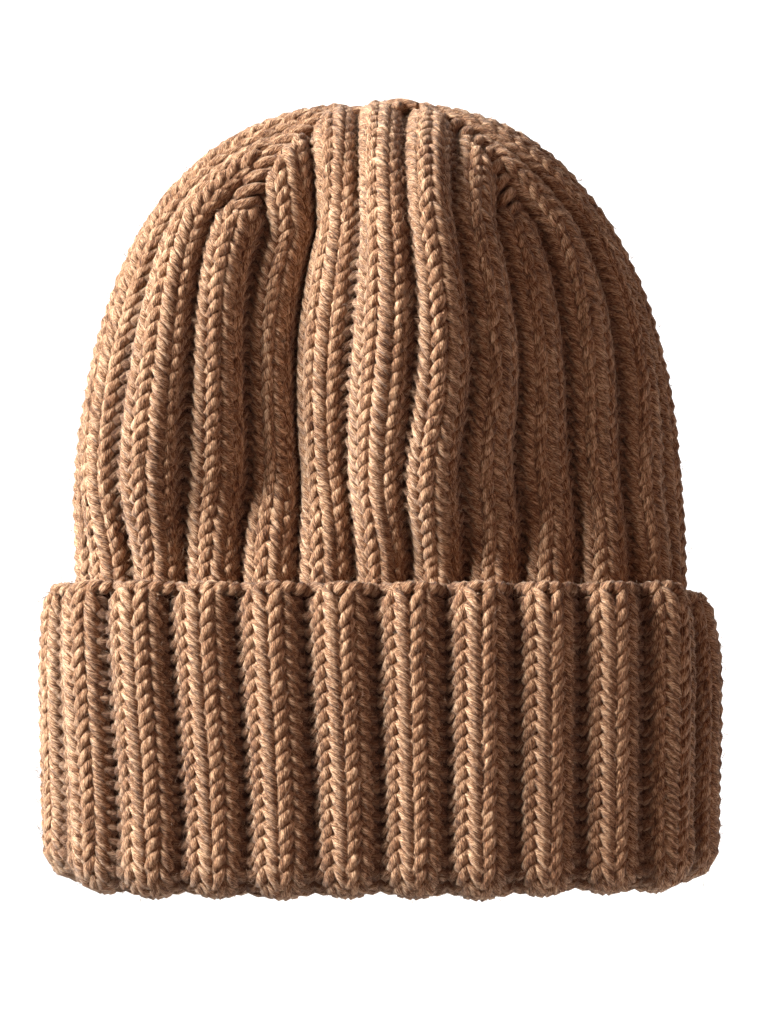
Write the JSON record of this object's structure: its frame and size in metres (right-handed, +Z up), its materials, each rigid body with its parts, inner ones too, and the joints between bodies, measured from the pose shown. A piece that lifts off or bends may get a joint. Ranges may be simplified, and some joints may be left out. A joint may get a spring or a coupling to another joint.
{
  "type": "ribbed knit beanie",
  "caption": "Chunky rib-knit winter hat with a deep turned-up cuff, a domed crown in four gores and a gathered top",
  "frame": {"origin": "centre of the head opening, in the plane of the lowest edge of the folded rim", "axes": "+Z up through the crown, +X to the wearer's left as the hat faces the viewer, -Y to the front"},
  "size_m": [0.216, 0.096, 0.2447],
  "materials": {
    "body_knit": "matte",
    "cuff_knit": "matte",
    "seam_yarn": "matte"
  },
  "bodies": {
    "hat": {"body_front": "body_knit", "body_right": "body_knit", "body_back": "body_knit", "body_left": "body_knit", "rim_fold": "cuff_knit", "crown_gather": "body_knit", "closing_knot": "seam_yarn", "back_seam": "seam_yarn", "crown_front": "body_knit", "crown_right": "body_knit", "crown_back": "body_knit", "crown_left": "body_knit", "dart_seam_front_right": "seam_yarn", "dart_seam_back_right": "seam_yarn", "dart_seam_back_left": "seam_yarn", "dart_seam_front_left": "seam_yarn"},
    "cuff_strip_01": {"cuff_rib_01": "cuff_knit"},
    "cuff_strip_02": {"cuff_rib_02": "cuff_knit"},
    "cuff_strip_03": {"cuff_rib_03": "cuff_knit"},
    "cuff_strip_04": {"cuff_rib_04": "cuff_knit"},
    "cuff_strip_05": {"cuff_rib_05": "cuff_knit"},
    "cuff_strip_06": {"cuff_rib_06": "cuff_knit"},
    "cuff_strip_07": {"cuff_rib_07": "cuff_knit"},
    "cuff_strip_08": {"cuff_rib_08": "cuff_knit"},
    "cuff_strip_09": {"cuff_rib_09": "cuff_knit"},
    "cuff_strip_10": {"cuff_rib_10": "cuff_knit"},
    "cuff_strip_11": {"cuff_rib_11": "cuff_knit"},
    "cuff_strip_12": {"cuff_rib_12": "cuff_knit"},
    "cuff_strip_13": {"cuff_rib_13": "cuff_knit"},
    "cuff_strip_14": {"cuff_rib_14": "cuff_knit"},
    "cuff_strip_15": {"cuff_rib_15": "cuff_knit"},
    "cuff_strip_16": {"cuff_rib_16": "cuff_knit"},
    "cuff_strip_17": {"cuff_rib_17": "cuff_knit"},
    "cuff_strip_18": {"cuff_rib_18": "cuff_knit"},
    "cuff_strip_19": {"cuff_rib_19": "cuff_knit"},
    "cuff_strip_20": {"cuff_rib_20": "cuff_knit"},
    "cuff_strip_21": {"cuff_rib_21": "cuff_knit"},
    "cuff_strip_22": {"cuff_rib_22": "cuff_knit"},
    "cuff_strip_23": {"cuff_rib_23": "cuff_knit"},
    "cuff_strip_24": {"cuff_rib_24": "cuff_knit"}
  },
  "joints": [
    {"name": "turn_down_01", "type": "hinge", "parent": "hat", "child": "cuff_strip_01", "pos_m": [0.00996, -0.03415, 0.00975], "axis": [0.9998, 0.0191, 0], "range_deg": [0, 180], "deforming": ["rim_fold"]},
    {"name": "turn_down_02", "type": "hinge", "parent": "hat", "child": "cuff_strip_02", "pos_m": [0.02984, -0.03337, 0.00975], "axis": [0.9981, 0.0615, 0], "range_deg": [0, 180]},
    {"name": "turn_down_03", "type": "hinge", "parent": "hat", "child": "cuff_strip_03", "pos_m": [0.04957, -0.03161, 0.00975], "axis": [0.9926, 0.121, 0], "range_deg": [0, 180]},
    {"name": "turn_down_04", "type": "hinge", "parent": "hat", "child": "cuff_strip_04", "pos_m": [0.06867, -0.02826, 0.00975], "axis": [0.9697, 0.2444, 0], "range_deg": [0, 180]},
    {"name": "turn_down_05", "type": "hinge", "parent": "hat", "child": "cuff_strip_05", "pos_m": [0.08507, -0.02126, 0.00975], "axis": [0.8088, 0.5881, 0], "range_deg": [0, 180]},
    {"name": "turn_down_06", "type": "hinge", "parent": "hat", "child": "cuff_strip_06", "pos_m": [0.09485, -0.0083, 0.00975], "axis": [0.3273, 0.9449, 0], "range_deg": [0, 180]},
    {"name": "turn_down_07", "type": "hinge", "parent": "hat", "child": "cuff_strip_07", "pos_m": [0.09485, 0.0083, 0.00975], "axis": [-0.3273, 0.9449, 0], "range_deg": [0, 180]},
    {"name": "turn_down_08", "type": "hinge", "parent": "hat", "child": "cuff_strip_08", "pos_m": [0.08507, 0.02126, 0.00975], "axis": [-0.8088, 0.5881, 0], "range_deg": [0, 180]},
    {"name": "turn_down_09", "type": "hinge", "parent": "hat", "child": "cuff_strip_09", "pos_m": [0.06867, 0.02826, 0.00975], "axis": [-0.9697, 0.2444, 0], "range_deg": [0, 180]},
    {"name": "turn_down_10", "type": "hinge", "parent": "hat", "child": "cuff_strip_10", "pos_m": [0.04957, 0.03161, 0.00975], "axis": [-0.9926, 0.121, 0], "range_deg": [0, 180]},
    {"name": "turn_down_11", "type": "hinge", "parent": "hat", "child": "cuff_strip_11", "pos_m": [0.02984, 0.03337, 0.00975], "axis": [-0.9981, 0.0615, 0], "range_deg": [0, 180]},
    {"name": "turn_down_12", "type": "hinge", "parent": "hat", "child": "cuff_strip_12", "pos_m": [0.00996, 0.03415, 0.00975], "axis": [-0.9998, 0.0191, 0], "range_deg": [0, 180]},
    {"name": "turn_down_13", "type": "hinge", "parent": "hat", "child": "cuff_strip_13", "pos_m": [-0.00996, 0.03415, 0.00975], "axis": [-0.9998, -0.0191, 0], "range_deg": [0, 180]},
    {"name": "turn_down_14", "type": "hinge", "parent": "hat", "child": "cuff_strip_14", "pos_m": [-0.02984, 0.03337, 0.00975], "axis": [-0.9981, -0.0615, 0], "range_deg": [0, 180]},
    {"name": "turn_down_15", "type": "hinge", "parent": "hat", "child": "cuff_strip_15", "pos_m": [-0.04957, 0.03161, 0.00975], "axis": [-0.9926, -0.121, 0], "range_deg": [0, 180]},
    {"name": "turn_down_16", "type": "hinge", "parent": "hat", "child": "cuff_strip_16", "pos_m": [-0.06867, 0.02826, 0.00975], "axis": [-0.9697, -0.2444, 0], "range_deg": [0, 180]},
    {"name": "turn_down_17", "type": "hinge", "parent": "hat", "child": "cuff_strip_17", "pos_m": [-0.08507, 0.02126, 0.00975], "axis": [-0.8088, -0.5881, 0], "range_deg": [0, 180]},
    {"name": "turn_down_18", "type": "hinge", "parent": "hat", "child": "cuff_strip_18", "pos_m": [-0.09485, 0.0083, 0.00975], "axis": [-0.3273, -0.9449, 0], "range_deg": [0, 180]},
    {"name": "turn_down_19", "type": "hinge", "parent": "hat", "child": "cuff_strip_19", "pos_m": [-0.09485, -0.0083, 0.00975], "axis": [0.3273, -0.9449, 0], "range_deg": [0, 180]},
    {"name": "turn_down_20", "type": "hinge", "parent": "hat", "child": "cuff_strip_20", "pos_m": [-0.08507, -0.02126, 0.00975], "axis": [0.8088, -0.5881, 0], "range_deg": [0, 180]},
    {"name": "turn_down_21", "type": "hinge", "parent": "hat", "child": "cuff_strip_21", "pos_m": [-0.06867, -0.02826, 0.00975], "axis": [0.9697, -0.2444, 0], "range_deg": [0, 180]},
    {"name": "turn_down_22", "type": "hinge", "parent": "hat", "child": "cuff_strip_22", "pos_m": [-0.04957, -0.03161, 0.00975], "axis": [0.9926, -0.121, 0], "range_deg": [0, 180]},
    {"name": "turn_down_23", "type": "hinge", "parent": "hat", "child": "cuff_strip_23", "pos_m": [-0.02984, -0.03337, 0.00975], "axis": [0.9981, -0.0615, 0], "range_deg": [0, 180]},
    {"name": "turn_down_24", "type": "hinge", "parent": "hat", "child": "cuff_strip_24", "pos_m": [-0.00996, -0.03415, 0.00975], "axis": [0.9998, -0.0191, 0], "range_deg": [0, 180]}
  ],
  "couplings": [
    {"joint": "turn_down_02", "follows": "turn_down_01", "ratio": 1},
    {"joint": "turn_down_03", "follows": "turn_down_01", "ratio": 1},
    {"joint": "turn_down_04", "follows": "turn_down_01", "ratio": 1},
    {"joint": "turn_down_05", "follows": "turn_down_01", "ratio": 1},
    {"joint": "turn_down_06", "follows": "turn_down_01", "ratio": 1},
    {"joint": "turn_down_07", "follows": "turn_down_01", "ratio": 1},
    {"joint": "turn_down_08", "follows": "turn_down_01", "ratio": 1},
    {"joint": "turn_down_09", "follows": "turn_down_01", "ratio": 1},
    {"joint": "turn_down_10", "follows": "turn_down_01", "ratio": 1},
    {"joint": "turn_down_11", "follows": "turn_down_01", "ratio": 1},
    {"joint": "turn_down_12", "follows": "turn_down_01", "ratio": 1},
    {"joint": "turn_down_13", "follows": "turn_down_01", "ratio": 1},
    {"joint": "turn_down_14", "follows": "turn_down_01", "ratio": 1},
    {"joint": "turn_down_15", "follows": "turn_down_01", "ratio": 1},
    {"joint": "turn_down_16", "follows": "turn_down_01", "ratio": 1},
    {"joint": "turn_down_17", "follows": "turn_down_01", "ratio": 1},
    {"joint": "turn_down_18", "follows": "turn_down_01", "ratio": 1},
    {"joint": "turn_down_19", "follows": "turn_down_01", "ratio": 1},
    {"joint": "turn_down_20", "follows": "turn_down_01", "ratio": 1},
    {"joint": "turn_down_21", "follows": "turn_down_01", "ratio": 1},
    {"joint": "turn_down_22", "follows": "turn_down_01", "ratio": 1},
    {"joint": "turn_down_23", "follows": "turn_down_01", "ratio": 1},
    {"joint": "turn_down_24", "follows": "turn_down_01", "ratio": 1}
  ]
}
